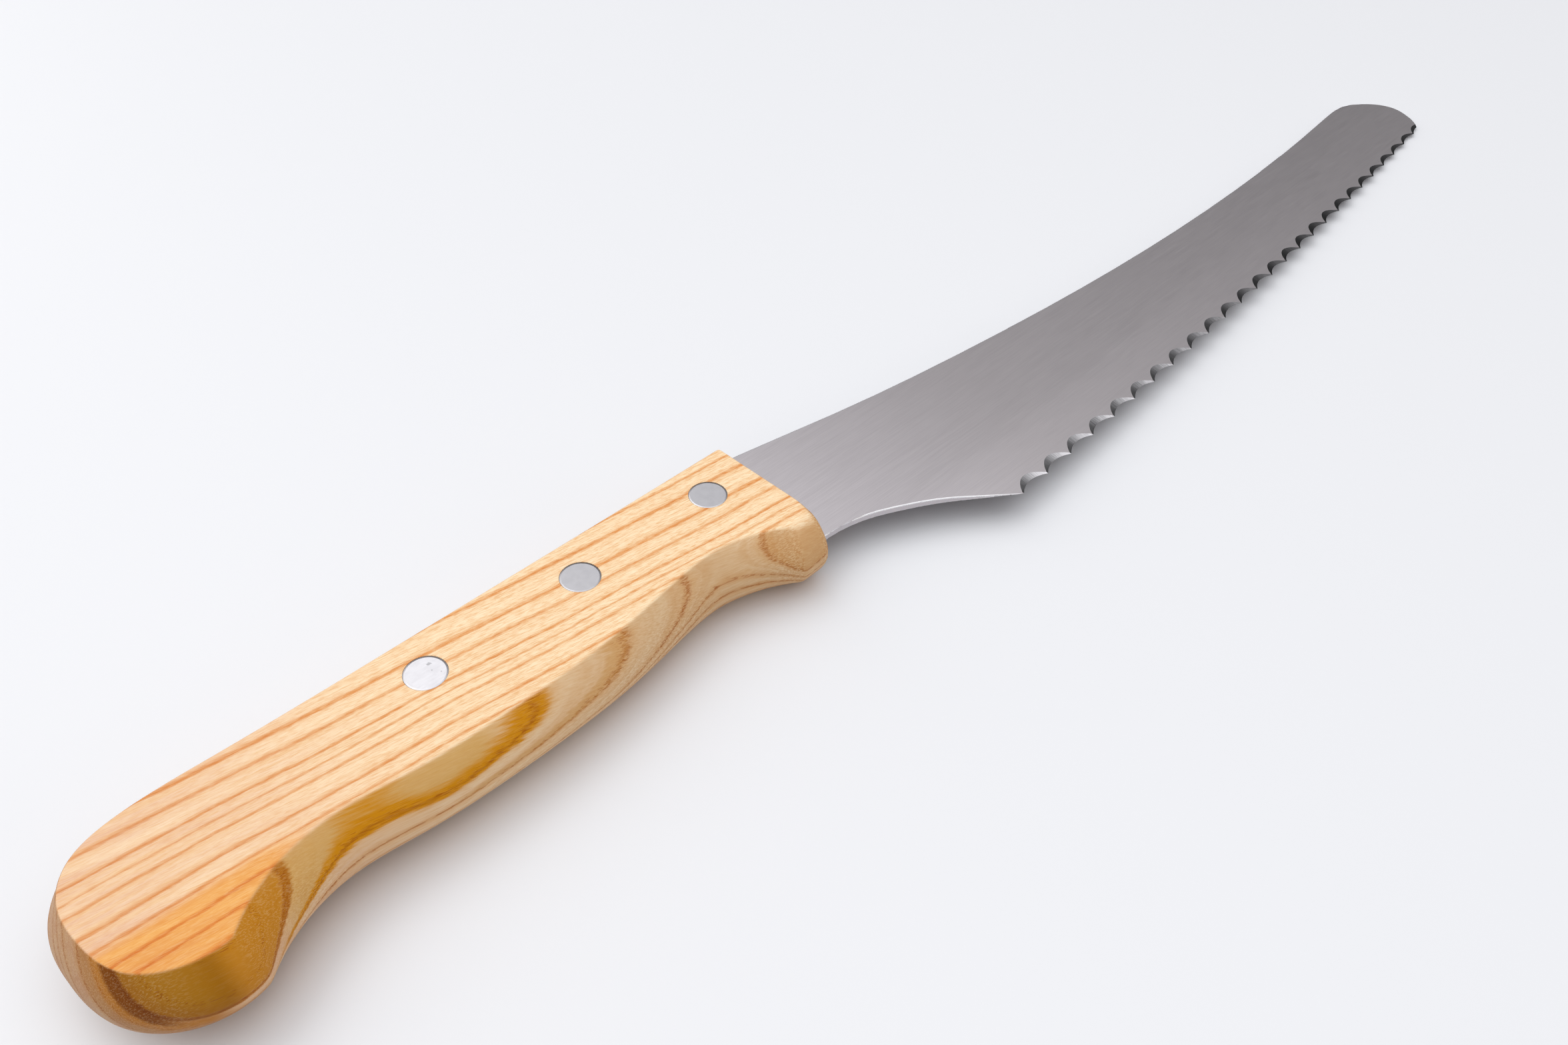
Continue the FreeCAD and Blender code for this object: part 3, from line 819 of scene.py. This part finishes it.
def add_cap(mesh, ring, height, up):
    """The handle's flat face inside a ring of vertices, with a blind seat for each rivet head."""
    inward = -SEAT_DEPTH if up else SEAT_DEPTH
    flat = [v.co.xy for v in ring]
    known = list(ring)
    edges = [(k, (k + 1) % len(ring)) for k in range(len(ring))]
    circles = [seat_circle(rivet) for rivet in RIVETS]
    for circle in circles:
        first = len(flat)
        flat += circle
        rim = [mesh.verts.new((*p, height)) for p in circle]
        floor = [mesh.verts.new((*p, height + inward)) for p in circle]
        known += rim
        edges += [(first + k, first + (k + 1) % SEAT_SIDES) for k in range(SEAT_SIDES)]
        for k in range(SEAT_SIDES):
            after = (k + 1) % SEAT_SIDES
            corners = (rim[k], rim[after], floor[after], floor[k])
            mesh.faces.new(corners if up else corners[::-1])
        mesh.faces.new(floor if up else floor[::-1])
    centres = [sum(circle, Vector((0, 0))) / SEAT_SIDES for circle in circles]
    reach = (circles[0][0] - centres[0]).length
    _, _, triangles, sources, _, _ = delaunay_2d_cdt(flat, edges, [], KEEP_INSIDE, SAME_POINT)
    for triangle in triangles:
        corners = [known[sources[k][0]] for k in triangle]
        middle = sum((v.co for v in corners), Vector()).xy / 3
        if all((middle - centre).length > reach for centre in centres):
            mesh.faces.new(corners if up else corners[::-1])


def side_outline(cad, height):
    """The crowned side at a height, from the nose up the front, round the butt and along the belly."""
    loop = slice_outline(cad, height)
    front = [k for k, p in enumerate(loop) if p.x > HANDLE_BOX[1].x - FRONT_FACE]
    nose = min(front, key=lambda k: loop[k].y)
    spine = max(front, key=lambda k: loop[k].y)
    foot = sharpest(loop, Vector(FOOT), FOOT_REACH)
    points = between_corners(loop, [nose, spine, foot], HANDLE_STEPS)
    rounded = softened(points, NOSE_ROUNDS)
    lightly = softened(points, CORNER_ROUNDS)
    for k in range(-NOSE_REACH, NOSE_REACH + 1):
        lightly[k] = lightly[k].lerp(rounded[k], hump(k, NOSE_REACH))
    return lightly


def groove_depth(point):
    """How deep the tang's groove is at a point of the side, growing over the tang's first millimetre."""
    low, high = HANDLE_BOX
    on_spine = point.y > high.y - GROOVE_SPAN
    on_front = point.x > high.x - GROOVE_FRONT and point.y > low.y + TANG_RISE
    past = (point.x - BLADE_BOX[0].x) / MM
    return SLOT_GROOVE * min(max(past, 0.0), 1.0) if on_spine or on_front else 0.0


def side_slices(slot_low):
    """The side's outlines and their heights, from the face that the knife lies on up to the slot."""
    base = HANDLE_BOX[0].z
    heights = [base + FIRST_SLICE]
    heights += [base + (slot_low - base) * k / (SLICES - 1) for k in range(1, SLICES)]
    cad = welded("handle")
    outlines = [side_outline(cad, height) for height in heights]
    cad.free()
    return heights, outlines


def lower_half(slot_low):
    """Rings of points from the lower flat face round its easing, up the side and into the groove."""
    base = HANDLE_BOX[0].z
    slice_heights, outlines = side_slices(slot_low)

    def level(heights, depths):
        """A ring of points at their own heights and their own depths in from the side."""
        points = []
        for k, height in enumerate(heights):
            share = (height - slice_heights[0]) / (slice_heights[1] - slice_heights[0])
            first = min(max(int(share), 0), SLICES - 2)
            points.append(outlines[first][k].lerp(outlines[first + 1][k], share - first))
        ways = outward(points)
        return [(*(p - way * depth), z) for p, way, depth, z in zip(points, ways, depths, heights)]

    count = sum(HANDLE_STEPS)
    easings = [EASING] * count
    for k in range(-NOSE_SPANS[0], NOSE_SPANS[1] + 1):
        easings[k] = EASING + (NOSE_EASING - EASING) * hump(k, NOSE_SPANS[k > 0])
    rings = []
    for turn in [math.pi / 2 * k / EASING_STEPS for k in range(EASING_STEPS + 1)]:
        heights = [base + easing * (1 - math.cos(turn)) for easing in easings]
        rings.append(level(heights, [easing * (1 - math.sin(turn)) for easing in easings]))
    for share in [k / WALL_STEPS for k in range(1, WALL_STEPS + 1)]:
        heights = [(base + easing) * (1 - share) + slot_low * share for easing in easings]
        rings.append(level(heights, [0.0] * count))
    grooved = level([slot_low] * count, [groove_depth(Vector(point)) for point in rings[-1]])
    rings.append([(x, y, z + SLOT_LIP) for x, y, z in grooved])
    return rings


def make_handle(material):
    """The handle's own surface again, evenly stepped, with eased edges and a groove for the tang."""
    low, high = HANDLE_BOX
    lower = lower_half(BLADE_BOX[0].z - SLOT_GAP)
    mesh = bmesh.new()
    rings = []
    for points in lower:
        rings.append([mesh.verts.new(point) for point in points])
    for points in reversed(lower):
        rings.append([mesh.verts.new((x, y, low.z + high.z - z)) for x, y, z in points])
    for below, above in zip(rings, rings[1:]):
        for k in range(len(below)):
            after = (k + 1) % len(below)
            face = mesh.faces.new((below[k], below[after], above[after], above[k]))
            face.smooth = True
    add_cap(mesh, rings[0], low.z, up=False)
    add_cap(mesh, rings[-1], high.z, up=True)
    bmesh.ops.recalc_face_normals(mesh, faces=mesh.faces)
    return add_piece("ash_handle", mesh, [material], "handle")


def add_piece(name, mesh, materials, node):
    """A new piece that rides on the knife and stands for one CAD node."""
    data = bpy.data.meshes.new(name)
    mesh.to_mesh(data)
    mesh.free()
    for material in materials:
        data.materials.append(material)
    piece = bpy.data.objects.new(name, data)
    bpy.context.scene.collection.objects.link(piece)
    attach(piece, "root")
    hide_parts(node)
    return piece


def rises(element):
    """How far the normals of the faces beside an edge or vertex rise or fall from level."""
    return [abs(face.normal.z) for face in element.link_faces]


def edges_to_ease(mesh, heel):
    """The blade's corners along its spine and along its choil, outside the handle."""
    eased = []
    for edge in mesh.edges:
        if len(edge.link_faces) != 2:
            continue
        meets_wall = min(rises(edge)) < WALL_NORMAL and max(rises(edge)) > FLAT_NORMAL
        place = (edge.verts[0].co + edge.verts[1].co) / 2
        on_choil = place.x < heel.x - HEEL_MARGIN and place.y < heel.y + CHOIL_RISE
        on_spine = place.y > heel.y + SPINE_RISE
        outside = place.x > HANDLE_BOX[1].x - HANDLE_MARGIN
        if meets_wall and outside and (on_choil or on_spine):
            eased.append(edge)
    return eased


def drop_spare_vertices(mesh):
    """Takes out the vertices halfway up the blade's walls and the ones inside its flats."""
    middle = (BLADE_BOX[0].z + BLADE_BOX[1].z) / 2
    spare = []
    for vert in mesh.verts:
        if max(rises(vert)) < WALL_NORMAL and abs(vert.co.z - middle) < SHEET_CORE:
            spare.append(vert)
    bmesh.ops.dissolve_verts(mesh, verts=spare)
    bmesh.ops.dissolve_limit(
        mesh, angle_limit=ONE_PLANE, verts=mesh.verts, edges=mesh.edges, delimit=set()
    )


def shade_blade(mesh, heel, sheet, ground, eased):
    """Marks the blade's sharp edges and gives each face its steel, by the materials' numbers."""
    for edge in mesh.edges:
        broad = {rise > BROAD_NORMAL for rise in rises(edge)}
        edge.smooth = edge.calc_face_angle(0.0) < SHARP_ANGLE and len(broad) == 1
    for face in mesh.faces:
        rise = abs(face.normal.z)
        place = face.calc_center_median()
        scalloped = place.x > heel.x - SCALLOP_MARGIN and place.y < heel.y + SPINE_RISE
        face.smooth = rise < LEVEL_NORMAL
        if SLOPED_NORMAL < rise < BROAD_NORMAL:
            face.material_index = ground if scalloped else eased
        else:
            face.material_index = sheet


def put_in_order(mesh):
    """Sorts the faces by place. Cutting faces into triangles orders them anew in each run."""
    for k, face in enumerate(sorted(mesh.faces, key=lambda face: tuple(face.calc_center_median()))):
        face.index = k
    mesh.faces.sort()


def make_blade(materials):
    """The blade's own surface again, with its long edges broken as a stamped and tumbled sheet's are."""
    mesh = welded("blade")
    drop_spare_vertices(mesh)
    heel = min(mesh.verts, key=lambda v: v.co.y).co.copy()
    bmesh.ops.bevel(
        mesh, geom=edges_to_ease(mesh, heel), offset=BLADE_EASING, segments=BLADE_EASING_STEPS,
        profile=ROUND_PROFILE, affect="EDGES", clamp_overlap=False,
    )
    shade_blade(mesh, heel, *range(len(materials)))
    bmesh.ops.triangulate(mesh, faces=[f for f in mesh.faces if len(f.verts) > 4])
    put_in_order(mesh)
    blade = add_piece("scalloped_blade", mesh, materials, "blade")
    # The large flats lead the shading of the slim faces beside them.
    blade.modifiers.new("flats_lead", "WEIGHTED_NORMAL").keep_sharp = True
    return blade


def dress(node, material):
    """Gives a CAD node that stays a material of its own."""
    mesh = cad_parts[node].data
    mesh.materials.clear()
    mesh.materials.append(material)


bpy.context.scene.view_settings.view_transform = "Standard"
make_camera()
make_floor()
make_lights()
make_handle(ash_material())
make_blade([steel_material(), ground_material(), eased_material()])
aluminium = aluminium_material()
for rivet in RIVETS:
    dress(rivet + "_rivet_stud", aluminium)
    dress(rivet + "_rivet_sleeve", aluminium)
